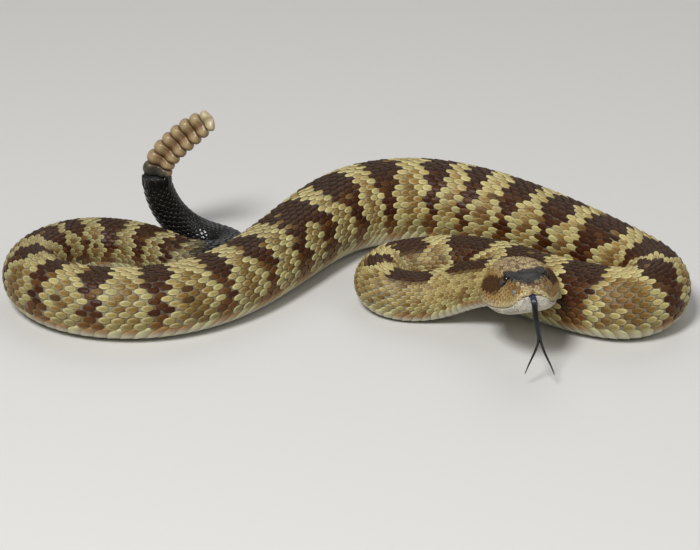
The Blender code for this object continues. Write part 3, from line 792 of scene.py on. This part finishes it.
def make_skin():
    """One skin from the snout to the rattle: a grid rolled round the spine, with the head's hollows."""
    cap = list(np.linspace(-SNOUT_CAP, 0.0, 10)[1:])
    head = list(np.arange(0.15, SCALES_START + 4, HEAD_STEP))
    body = list(np.arange(head[-1] + BODY_STEP / 2, spine.rattle - 0.6, BODY_STEP)) + [spine.rattle - 0.4]
    places = np.array(cap + head + body)
    shape = bmesh.new()
    bmesh.ops.create_grid(shape, x_segments=SKIN_AROUND, y_segments=len(places) - 1, size=0.5)
    skin = from_bmesh("skin", shape)
    flat = coordinates(skin.data)[:, :2] + 0.5
    column = np.rint(flat[:, 1] * (len(places) - 1)).astype(int)
    place, angle = places[column], (flat[:, 0] * 2 - 1) * math.pi
    x, z = section(place, angle)
    point, _, _, normal = surface(place, angle)
    deep = np.where(place < HEAD_LENGTH - 6, relief(place, x, z), 0.0)
    points = point - normal * (COAT + deep)[:, None]
    points[:, 2] = np.maximum(points[:, 2], 0.05)
    place_vertices(skin, points)
    half = np.full(len(place), 0.5)
    body_colour = body_marks(place, angle, half, half)
    light = smooth(body_colour.mean(axis=1), 0.03, 0.2)
    body_colour = blend(body_colour, SKIN_GREY, (0.24 + 0.56 * light) * (1 - smooth(place, *TAIL_BLACKENS)))
    face_colour = face_marks(place, x, z, half, half)
    face_colour = face_colour * (0.8 - 0.45 * smooth(place, 14, 18) * smooth(z, 3, 6))[:, None]
    colour = blend(face_colour, body_colour, smooth(place, HEAD_LENGTH - 3, HEAD_LENGTH + 3))
    # Painted shade darkens the head's hollows: eye sockets, heat pits, nostrils, the mouth's groove and its
    # notch.
    colour = blend(colour, HOLLOW_SHADE, smooth(deep, 0.15, 0.6))
    colour_vertices(skin, colour)
    unwrap(skin, 0.005 + 0.99 * flat[:, ::-1])
    close_surface(skin)
    return skin


def close_surface(piece):
    """Joins the two long edges of a rolled grid, closes open ends and turns the faces outwards."""
    mesh = bmesh.new()
    mesh.from_mesh(piece.data)
    bmesh.ops.remove_doubles(mesh, verts=mesh.verts, dist=0.01 * MM)
    open_edges = [edge for edge in mesh.edges if edge.is_boundary]
    bmesh.ops.holes_fill(mesh, edges=open_edges, sides=0)
    bmesh.ops.recalc_face_normals(mesh, faces=mesh.faces)
    mesh.to_mesh(piece.data)
    mesh.free()
    piece.data.shade_smooth()


# Along the head, in mm: place, and size of the small scales there, above the mouth and under it.
HEAD_SCALES = ((0, 1.5, 1.9), (8, 1.8, 2.2), (16, 1.6, 2.0), (24, 1.5, 1.9), (42, 1.6, 1.9))
LIP_SCALES = 16
LIP_SCALE_HEIGHT = 1.8
LIP_GROWTH = 1.15
LIP_ROWS = (0.56, -0.6)  # middles of the two rows of lip scales, from the mouth line, in their height


def run_along(line):
    """Distance from the first point of a line to each of its points."""
    return np.concatenate([[0.0], np.cumsum(np.linalg.norm(np.diff(line, axis=0), axis=1))])


def head_seats(rng, start, end, under):
    """Place, angle and size of the head's small scales, in rings one step apart over its surface."""
    at, above_size, under_size = np.array(HEAD_SCALES).T
    sizes = under_size if under else above_size
    places = np.linspace(start, end, 400)
    run = run_along(outline(places, np.full_like(places, math.radians(150 if under else 55))))
    seats, where, ring = [], 0.0, 0
    while where < run[-1]:
        place = np.interp(where, run, places)
        size = np.interp(place, at, sizes)
        where += 0.84 * size
        ring += 1
        level = mouth_level(place) + (-1.15 if under else 1.08) * LIP_SCALE_HEIGHT
        edge = angle_at_height(np.array([place]), np.array([level if place < GAPE else -3.0]), 1)[0]
        first, last = (edge, 2 * math.pi - edge) if under else (-edge, edge)
        angles = np.linspace(first, last, 361)
        reach = run_along(outline(np.full_like(angles, place), angles))
        count = max(int(round(reach[-1] / size)), 2)
        steps = (np.arange(count) + 0.5 * (ring % 2) + rng.normal(0, 0.07, count)) / count * reach[-1]
        seats.append(np.column_stack([
            place + rng.normal(0, 0.06, count) * size * (place > 2), np.interp(steps, reach, angles),
            np.full(count, size)]))
    return np.concatenate(seats)


def clear_of_features(place, x, z):
    """Where a head scale may sit: off the eyes, pits, nostrils, brows and the plate at the snout's tip."""
    eye = from_feature(place, z, EYE_AT) > 3.2
    pit = from_feature(place, z, PIT_AT) > 2.4
    nostril = from_feature(place, z, NOSTRIL_AT, (0.9, 1.0)) > 1.0
    brow = from_feature(place, np.abs(x), (EYE_AT[0], BROW_MIDDLE + 1.1), (3.6, 1.6)) > 1.0
    on_top = np.abs(x) <= 2.0
    rostral = (place > -0.5) | (np.abs(x) > 1.2)
    return (on_top | eye & pit & nostril) & (brow | (z < EYE_RING_AT[1])) & rostral


def marked_seats(rng, place, angle, width, length, **form):
    """Seats on the head, with the face's own colours."""
    count = len(place)
    x, z = head_section(place, angle)
    colour = face_marks(place, x, z, rng.random(count), rng.random(count))
    return seats_of(place, angle, width, length, colour, round=8.0, **form)


def crown_scales(rng, tree):
    """The small scales of the crown, snout and cheeks, those behind the eyes with a keel."""
    place, angle, size = head_seats(rng, -0.9, HEAD_LENGTH + 1.0, False).T
    kept = clear_of_features(place, *head_section(place, angle))
    place, angle, size = place[kept], angle[kept], size[kept] * rng.normal(1, 0.05, kept.sum())
    back = smooth(place, 13, 19)
    on_top = back * smooth(head_section(place, angle)[1], 1.0, 5.0)
    flatter = smooth(place, -0.5, 2.5) * (1 - 0.6 * smooth(place, 33, 38))
    seats = marked_seats(
        rng, place, angle, size * (1.24 - 0.3 * on_top), size * (1.36 + 0.1 * on_top),
        height=0.08 + 0.12 * on_top, lift=flatter * (0.09 + 0.1 * back + 0.23 * on_top),
        keel=0.06 * back + 0.16 * on_top, square=0.82)
    return lay_scales("crown_scales", seats, tree)


def mouth_scales(rng, tree):
    """The scales of the chin and lips, the plates at the snout's tip, and rings round eyes and pits."""
    place, angle, size = head_seats(rng, 1.2, HEAD_LENGTH + 1.0, True).T
    groups = [marked_seats(rng, place, angle, size * 1.24, size * 1.36, height=0.09, lift=0.1, square=0.8)]
    for side in (1, -1):
        for row in LIP_ROWS:
            places = np.linspace(-1.6 if row > 0 else 0.05, GAPE, 160)
            angles = angle_at_height(places, mouth_level(places) + row * LIP_SCALE_HEIGHT, side)
            run = run_along(outline(places, angles))
            edges = run[-1] * (np.arange(LIP_SCALES + 1) / LIP_SCALES) ** LIP_GROWTH
            middles = (edges[1:] + edges[:-1]) / 2
            groups.append(marked_seats(
                rng, np.interp(middles, run, places), np.interp(middles, run, angles),
                np.full(LIP_SCALES, LIP_SCALE_HEIGHT), np.diff(edges) * 1.24,
                height=0.08, lift=0.06, square=0.6))
        for (along, up), radius, count, size in ((EYE_RING_AT, 2.75, 15, 1.3), (PIT_AT, 1.85, 10, 1.25)):
            turn = 2 * math.pi * np.arange(count) / count
            place, height = np.maximum(along + radius * np.cos(turn), 0.5), up + radius * np.sin(turn)
            angle = angle_at_height(place, height, side)
            sizes = np.full(count, size)
            groups.append(marked_seats(
                rng, place, angle, sizes, sizes, height=0.1, lift=0.0, square=0.8))
    tips = marked_seats(
        rng, np.array([-1.8, 0.45]), np.array([0.0, math.pi]), np.array([2.6, 2.6]), np.array([2.4, 2.2]),
        height=0.12, lift=0.0, square=0.8)
    return lay_scales("mouth_scales", joined_seats(*groups, tips), tree)


def on_head(place, side, up):
    """A point in the head's own frame: along from the snout, to the animal's left, up; in mm."""
    centre, across, _, upward, *_ = spine.frames(np.array(float(place)))
    return centre + across * side + upward * up - CENTRE


def head_axes(place):
    """Axes at a place on the head: X to the animal's left, Y backward, Z up."""
    _, across, along, up, *_ = spine.frames(np.array(float(place)))
    return Matrix(np.column_stack([across, along, up]).tolist()).to_4x4()


def ball(name, centre, size, axes, segments=32):
    """A smooth ellipsoid of the given half sizes, in mm, turned to the axes."""
    shape = bmesh.new()
    bmesh.ops.create_uvsphere(shape, u_segments=segments, v_segments=segments // 2, radius=1.0)
    bmesh.ops.scale(shape, vec=Vector(size) * MM, verts=shape.verts)
    bmesh.ops.transform(shape, matrix=axes, verts=shape.verts)
    bmesh.ops.translate(shape, vec=Vector(centre) * MM, verts=shape.verts)
    return from_bmesh(name, shape)


def make_pit(name, side):
    """The lens that shows inside a heat pit: the pit's membrane, pale grey partly of its own and partly as
    a painted reflection.
    """
    along, high = PIT_AT
    angle = angle_at_height([along], [high], side)
    point, tailward, _, normal = (part[0] for part in surface([along], angle))
    facing = unit(normal - PIT_TURN * tailward)
    back = unit(tailward + PIT_TURN * normal)
    axes = Matrix(np.column_stack([facing, back, np.cross(facing, back)]).tolist()).to_4x4()
    return ball(name, point - normal * PIT_DEPTH, PIT_LENS, axes, 24)


def crown_height(place, x):
    """Height of the crown above the head's line, at points to the side of its middle."""
    angles = np.linspace(0.0, math.pi / 2, 60)
    heights = []
    for one_place, one_x in zip(place, x):
        wide, high = head_section(np.full(60, one_place), angles)
        heights.append(np.interp(one_x, wide, high))
    return np.array(heights)


BROW_SIZE = (1.8, 3.6, 0.3)  # half sizes across, along and up
BROW_PLACE = 13.0
BROW_MIDDLE = 6.1
BROW_LEDGE = 5.8  # the brow plate lies on the crown out to here, and then stands out over the eye
BROW_SINK = 0.3
BROW_LIFT = 0.05


def make_brow(name, side):
    """The horny plate that overhangs an eye."""
    shape = bmesh.new()
    bmesh.ops.create_uvsphere(shape, u_segments=40, v_segments=16, radius=1.0)
    brow = from_bmesh(name, shape)
    x, y, z = coordinates(brow.data).T
    span = np.hypot(x, y)
    outward = span * signed_power(x / np.maximum(span, 1e-6), 0.72)
    y = span * signed_power(y / np.maximum(span, 1e-6), 0.72)
    back = BROW_SIZE[1] * y
    place = BROW_PLACE + back
    away = BROW_MIDDLE + BROW_SIZE[0] * outward + 0.12 * back
    thick = BROW_SIZE[2] * z * (1 - 0.3 * np.maximum(outward, 0.0))
    height = crown_height(place, np.minimum(away, BROW_LEDGE)) - BROW_SINK + BROW_LIFT * outward + thick
    centre, across, _, up, *_ = spine.frames(place)
    place_vertices(brow, centre + across * (side * away)[:, None] + up * height[:, None] - CENTRE)
    colour_vertices(brow, blend(SNOUT_GREY * 0.7, CROWN_BROWN, smooth(place, 13.8, 15.8)))
    close_surface(brow)
    return brow


TONGUE_ROOT = 1.62  # place in the mouth where it begins
TONGUE_STEM = ((68.8, -94.5, 34.3), (69.3, -96.8, 31.2), (70.0, -98.6, 25.4), (71.2, -99.2, 19.2))
TONGUE_TINES = (
    ((69.6, -99.8, 14.6), (67.6, -100.2, 9.8), (66.0, -100.2, 5.2)),
    ((73.2, -99.8, 14.4), (75.6, -100.4, 9.4), (77.4, -100.6, 4.9)),
)
TONGUE_STEM_SIZE = (0.9, 0.62)  # half width and half thickness
TONGUE_STEM_END = (0.5, 0.42)
TONGUE_FORK_SIZE = (0.7, 0.56)
TONGUE_TIP_SIZE = (0.16, 0.14)
TONGUE_APART = 0.42


def tongue_tube(points, start_size, end_size, sides=16, steps=40):
    """A flattened tube through points in mm, from a grid rolled round its own line."""
    curve = Spline(points)
    shape = bmesh.new()
    bmesh.ops.create_grid(shape, x_segments=sides, y_segments=steps, size=0.5)
    piece = from_bmesh("tube", shape)
    flat = coordinates(piece.data)[:, :2] + 0.5
    places = flat[:, 1] * curve.knots[-1]
    centre = curve.at(places)
    along = unit(curve.at(places + 0.1) - curve.at(places - 0.1))
    across = unit(np.cross(along, np.array((0.0, 1.0, 0.0))))
    thick = np.cross(across, along)
    start_size, end_size = np.array(start_size), np.array(end_size)
    half = start_size + (end_size - start_size) * flat[:, 1:] ** 2.5
    turn = flat[:, 0] * 2 * math.pi
    ends = np.sqrt(np.clip(1 - np.clip((flat[:, 1] - 0.97) / 0.03, 0, 1) ** 2, 0.05, 1))
    side = (half[:, 0] * np.cos(turn) * ends)[:, None]
    depth = (half[:, 1] * np.sin(turn) * (1 - 0.35 * np.cos(turn * 2)) * ends)[:, None]
    place_vertices(piece, centre + across * side + thick * depth - CENTRE)
    close_surface(piece)
    return piece


def make_tongue():
    """A black forked tongue, with a painted bluish sheen at the mouth: a stem, and two tines that run along
    all of it.
    """
    root = tuple(on_head(TONGUE_ROOT, 0, 0) + CENTRE)
    stem = (root,) + TONGUE_STEM
    pieces = [tongue_tube(stem, TONGUE_STEM_SIZE, TONGUE_STEM_END)]
    for side, tine in zip((-1, 1), TONGUE_TINES):
        beside = tuple((x + side * TONGUE_APART, y, z) for x, y, z in stem)
        pieces.append(tongue_tube(beside + tine, TONGUE_FORK_SIZE, TONGUE_TIP_SIZE))
    tongue = join_pieces("forked_tongue", pieces)
    out = np.linalg.norm(coordinates(tongue.data) / MM - on_head(0.0, 0.0, 0.0), axis=1)
    colour_vertices(tongue, blend(TONGUE_BLUE_SHEEN, TONGUE_BLACK, smooth(out, 1.0, 4.5)))
    return tongue


def join_pieces(name, pieces):
    """One object from several, each kept as its own closed surface."""
    mesh = bmesh.new()
    for piece in pieces:
        mesh.from_mesh(piece.data)
        bpy.data.objects.remove(piece)
    return from_bmesh(name, mesh)


RATTLE_SEGMENTS = 8
RATTLE_BROAD = 12.2
RATTLE_THIN = 7.6
BUTTON_SCALE = 0.74  # size of the last segment


def make_rattle_segment(index):
    """One horny segment: two rounded lobes with a groove between, tucked into the next one's waist."""
    pitch = (spine.end - spine.rattle) / RATTLE_SEGMENTS
    shape = bmesh.new()
    bmesh.ops.create_grid(shape, x_segments=48, y_segments=26, size=0.5)
    piece = from_bmesh(f"rattle_lobe_{index + 1}", shape)
    flat = coordinates(piece.data)[:, :2] + 0.5
    part, turn = flat[:, 1], flat[:, 0] * 2 * math.pi
    place = spine.rattle + (index + 0.02 + 0.96 * part) * pitch
    centre, across, _, up, *_ = spine.frames(place)
    taper = max(0.0, (index - 4) / (RATTLE_SEGMENTS - 5))
    size = 1 + (BUTTON_SCALE - 1) * taper ** 2
    if index == RATTLE_SEGMENTS - 1:
        size = size * np.sqrt(1.03 - smooth(part, 0.3, 1.05) ** 2)
    bulge = np.sqrt(np.clip(1 - np.abs(2 * part - 1) ** 2.2, 0.0, 1.0))
    swell = size * (0.66 + 0.37 * bulge)
    swell = swell * (0.5 + 0.5 * smooth(np.minimum(part, 1 - part), -0.01, 0.05))
    lobes = 1 - 0.5 * np.exp(-(np.sin(turn) / 0.3) ** 2)
    broad = RATTLE_BROAD / 2 * swell * signed_power(np.sin(turn), 0.82)
    thin = RATTLE_THIN / 2 * swell * signed_power(np.cos(turn), 0.72) * lobes
    place_vertices(piece, centre + up * broad[:, None] + across * thin[:, None] - CENTRE)
    # Each segment is browner towards its ends, along the groove between its lobes and on its growth lines.
    toward_seams = 1 - np.clip(bulge, 0, 1)
    groove = np.exp(-(np.sin(turn) / 0.16) ** 2)
    lines = 0.3 * (np.exp(-((part - 0.26) / 0.05) ** 2) + np.exp(-((part - 0.74) / 0.05) ** 2))
    horn = blend(HORN_TAN, HORN_BROWN, np.clip(toward_seams + lines + groove * 0.8, 0, 1))
    horn = blend(horn, HORN_PALE, smooth(index + part, 6.6, 7.6) * 0.7)
    stain = (1 - smooth(index + part, 0.6, 1.5)) * (1 - 0.75 * smooth(np.sin(turn), 0.55, 0.85))
    colour_vertices(piece, blend(horn, HORN_STAIN, stain * 0.9))
    unwrap(piece, 0.01 + 0.98 * flat)
    close_surface(piece)
    return piece


class Socket:
    """A shader socket that takes part in arithmetic: each operation adds a Math node to its finish."""

    def __init__(self, finish, socket):
        self.finish = finish
        self.socket = socket

    def __add__(self, other):
        return self.finish.math("ADD", self, other)

    def __sub__(self, other):
        return self.finish.math("SUBTRACT", self, other)

    def __rsub__(self, other):
        return self.finish.math("SUBTRACT", other, self)

    def __mul__(self, other):
        return self.finish.math("MULTIPLY", self, other)

    __radd__ = __add__
    __rmul__ = __mul__


class Finish:
    """A material on one Principled BSDF, with its constants set on the shader's own sockets."""

    def __init__(self, name, **constants):
        self.material = bpy.data.materials.new(name)
        self.material.use_nodes = True
        self.nodes = self.material.node_tree.nodes
        self.links = self.material.node_tree.links
        self.shader = self.nodes["Principled BSDF"]
        for socket, value in constants.items():
            self.shader.inputs[socket.replace("_", " ")].default_value = value

    def node(self, kind, settings=None, inputs=None, output=0):
        """Any node: its type, then its settings, then the values or links of its sockets."""
        node = self.nodes.new(kind)
        for setting, value in (settings or {}).items():
            setattr(node, setting, value)
        for socket, value in (inputs or {}).items():
            self.join(value, node.inputs[socket])
        return Socket(self, node.outputs[output])

    def join(self, value, socket):
        if isinstance(value, Socket):
            self.links.new(value.socket, socket)
        else:
            socket.default_value = value

    def math(self, operation, first, second):
        return self.node("ShaderNodeMath", {"operation": operation}, {0: first, 1: second})

    def shaded(self, colour, shade):
        return self.node("ShaderNodeVectorMath", {"operation": "SCALE"}, {0: colour, "Scale": shade})

    def set(self, socket, value):
        self.join(value, self.shader.inputs[socket])


def grain(finish, scale, detail=3.0):
    """Noise on the piece's own coordinates, about 0.5 in the middle."""
    where = finish.node("ShaderNodeTexCoord", output="Object")
    return finish.node("ShaderNodeTexNoise", inputs={"Vector": where, "Scale": scale, "Detail": detail})


def marking(finish):
    """The colours that the piece's vertices carry."""
    return finish.node("ShaderNodeAttribute", {"attribute_name": "Marking"}, output="Color")


BUMP_DEPTH = 0.0002
UNEVEN_GLOSS = 0.12  # how far the roughness strays either way


def marked_finish(name, *, mottle, grain_scale, bump, streaks=0.0, **constants):
    """A finish that shows the piece's marking, mottled by fine grain and by streaks along each scale."""
    finish = Finish(name, **constants)
    fine = grain(finish, grain_scale)
    shade = 1 - mottle * (1 - 2 * fine)
    height = fine
    if streaks:
        own = finish.node("ShaderNodeAttribute", {"attribute_name": "Grain"}, output="Vector")
        along = finish.node("ShaderNodeMapping", inputs={"Vector": own, "Scale": (3.0, 0.5, 1.0)})
        streak = finish.node("ShaderNodeTexNoise", inputs={"Vector": along, "Scale": 1.0, "Detail": 2.5})
        shade = shade * (1 - streaks * (1 - 2 * streak))
        height = 0.5 * fine + streak
    finish.set("Base Color", finish.shaded(marking(finish), shade))
    finish.set("Normal", finish.node(
        "ShaderNodeBump", inputs={"Strength": bump, "Distance": BUMP_DEPTH, "Height": height}))
    uneven = 2 * grain(finish, grain_scale / 3) - 1
    finish.set("Roughness", constants["Roughness"] + UNEVEN_GLOSS * uneven)
    return finish.material


def eye_finish():
    """A dark bronze iris with an upright slit, under a clear glossy cornea."""
    finish = Finish("eye_glass", Roughness=0.18, Specular_IOR_Level=0.35, Coat_Weight=0.15)
    fleck = 0.65 + 0.7 * grain(finish, 2600.0, 4.0)
    finish.set("Base Color", finish.shaded(marking(finish), fleck))
    return finish.material


def make_eye(name, side):
    """A ball whose iris and slit pupil face outward."""
    along, high = EYE_AT
    middle, axes = on_head(along, side * EYE_OUT, high), head_axes(along)
    eye = ball(name, middle, (EYE_RADIUS,) * 3, axes, 48)
    local = (coordinates(eye.data) / MM - middle) @ np.array(axes.to_3x3()) / EYE_RADIUS
    outward, back, up = local[:, 0] * side, local[:, 1], local[:, 2]
    slit = np.hypot(back / 0.13, up / 0.62)
    iris = np.hypot(back, up)
    colour = blend(IRIS_BRONZE, IRIS_DARK, smooth(iris, 0.3, 0.82))
    colour = blend(colour, PUPIL, (1 - smooth(slit, 0.8, 1.15)) * (outward > 0))
    colour_vertices(eye, colour)
    return eye


def finished(piece, material, slot, *nodes):
    """Gives a piece its material and body, and hides the solids that it stands for. The slot is not used.
    """
    piece.data.materials.clear()
    piece.data.materials.append(material)
    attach(piece, "root")
    if nodes:
        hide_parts(*nodes)
    return piece


def stage():
    """A plain pale floor, soft studio light and the photograph's view."""
    shape = bmesh.new()
    bmesh.ops.create_grid(shape, x_segments=1, y_segments=1, size=3.0)
    floor = from_bmesh("floor", shape)
    floor.location.z = -0.0002
    finish = Finish("floor_paper", Base_Color=(0.62, 0.61, 0.59, 1.0), Roughness=0.9)
    floor.data.materials.append(finish.material)
    for name, place, size, power in (
        ("key", (-0.35, -0.9, 1.2), 0.4, 21.0), ("fill", (1.1, -0.5, 0.9), 1.2, 3.0),
        ("back", (0.2, 1.2, 1.3), 1.4, 5.0),
    ):
        light = bpy.data.lights.new(name, "AREA")
        light.shape = "DISK"
        light.size = size
        light.energy = power
        lamp = add_object(name, light)
        lamp.location = place
        lamp.rotation_euler = (-Vector(place)).to_track_quat("-Z", "Y").to_euler()
    world = bpy.data.worlds.new("studio")
    world.use_nodes = True
    world.node_tree.nodes["Background"].inputs["Color"].default_value = (1.0, 1.0, 1.0, 1.0)
    world.node_tree.nodes["Background"].inputs["Strength"].default_value = 0.24
    bpy.context.scene.world = world
    lens = bpy.data.cameras.new("camera")
    lens.sensor_width = 36.0
    lens.lens = 36.0 * VIEW_FOCUS / PHOTO_WIDTH
    camera = add_object("camera", lens)
    tilt = math.radians(VIEW_ELEVATION)
    camera.location = Vector((0.0, -math.cos(tilt), math.sin(tilt))) - Vector(CENTRE) * MM
    camera.rotation_euler = (math.pi / 2 - tilt, 0.0, 0.0)
    bpy.context.scene.camera = camera
    bpy.context.scene.view_settings.view_transform = "Standard"


scale_gloss = marked_finish(
    "scale_gloss", mottle=0.3, grain_scale=1500.0, bump=0.5, streaks=0.36, Roughness=0.38,
    Specular_IOR_Level=0.17)
head_gloss = marked_finish(
    "head_gloss", mottle=0.95, grain_scale=1300.0, bump=0.7, streaks=0.3, Roughness=0.46,
    Specular_IOR_Level=0.25)
brow_horn = marked_finish(
    "brow_horn", mottle=1.0, grain_scale=1100.0, bump=0.6, Roughness=0.5, Specular_IOR_Level=0.25)
black_gloss = marked_finish(
    "black_gloss", mottle=0.2, grain_scale=1500.0, bump=0.4, streaks=0.3, Roughness=0.23)
skin_satin = marked_finish("skin_satin", mottle=0.3, grain_scale=1900.0, bump=0.9, Roughness=0.6)
belly_satin = marked_finish("belly_satin", mottle=0.1, grain_scale=700.0, bump=0.3, Roughness=0.4)
horn_satin = marked_finish("horn_satin", mottle=0.14, grain_scale=900.0, bump=0.35, Roughness=0.36)
eye_glass = eye_finish()
tongue_wet = marked_finish("tongue_wet", mottle=0.1, grain_scale=900.0, bump=0.3, Roughness=0.24)
# The pit's membrane: pale grey partly of its own and partly as a painted reflection.
pit_membrane_sheen = Finish("pit_membrane_sheen", Base_Color=(0.16, 0.15, 0.14, 1.0), Roughness=0.34).material

BODY_NODES = (
    "head", "lower_jaw", "neck", "neck_bend", "shoulder", "fore_body", "fore_bend", "side_bend",
    "mid_body_side", "mid_body_arch", "mid_body_back", "hind_body_front", "hind_body_side", "hind_bend",
    "hind_body_back", "vent_length", "tail_bend", "tail",
)
skin = finished(make_skin(), skin_satin, "body_skin", *BODY_NODES)
skin_tree = BVHTree.FromObject(skin, bpy.context.evaluated_depsgraph_get())

rng = np.random.default_rng(27)
finished(crown_scales(rng, skin_tree), head_gloss, "face_skin")
finished(mouth_scales(rng, skin_tree), head_gloss, "chin_skin")
COAT_LENGTHS = (SCALES_START, 180.0, 330.0, 480.0, TAIL_START)
for index, (start, end) in enumerate(zip(COAT_LENGTHS, COAT_LENGTHS[1:])):
    finished(back_scales(f"back_scales_{index + 1}", rng, start, end), scale_gloss, "body_skin")
finished(back_scales("tail_scales", rng, TAIL_START, spine.rattle - 1.5), black_gloss, "tail_skin")
finished(tail_ring(), black_gloss, "tail_skin")
finished(belly_plates("belly_plates", SCALES_START, TAIL_START, rng), belly_satin, "body_skin")
finished(belly_plates("tail_plates", TAIL_START, spine.rattle - 1.5, rng), black_gloss, "tail_skin")

for side, word in ((1, "left"), (-1, "right")):
    finished(make_eye(f"eye_ball_{word}", side), eye_glass, "eye", f"eye_{word}")
    finished(make_brow(f"brow_plate_{word}", side), brow_horn, "face_skin")
    finished(make_pit(f"pit_membrane_sheen_{word}", side), pit_membrane_sheen, "face_skin")

finished(make_tongue(), tongue_wet, "tongue", "tongue")

for index in range(RATTLE_SEGMENTS):
    finished(make_rattle_segment(index), horn_satin, "rattle_horn", f"rattle_segment_{index + 1}")

stage()
bpy.context.view_layer.update()
